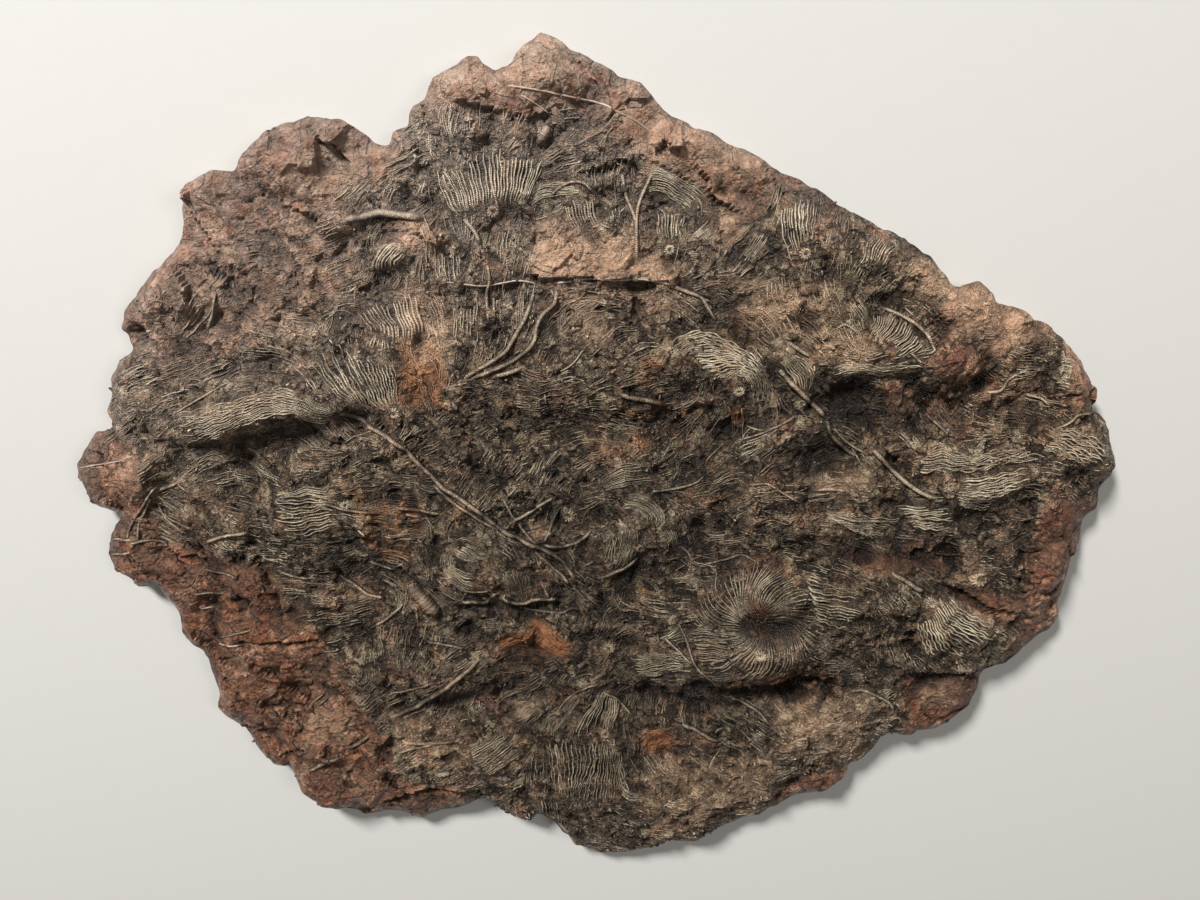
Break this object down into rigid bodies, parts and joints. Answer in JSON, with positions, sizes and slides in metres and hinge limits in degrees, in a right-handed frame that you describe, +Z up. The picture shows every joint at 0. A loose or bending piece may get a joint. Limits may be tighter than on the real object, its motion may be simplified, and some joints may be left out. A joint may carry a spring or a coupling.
{
  "type": "crinoid fossil slab",
  "caption": "Large slab of dark limestone crowded with fossil sea lilies, their feathery crowns and stems in relief, lying on a flat back.",
  "frame": {"origin": "under the middle of the slab, on the surface it lies on", "axes": "+Z up out of the fossil face, +X along the slab's width, +Y towards the edge that is on top when it is hung"},
  "size_m": [1.5292, 1.2928, 0.0973],
  "materials": {
    "fossil_stone": "satin"
  },
  "bodies": {
    "root": {"crinoid_slab": "fossil_stone"}
  },
  "joints": []
}
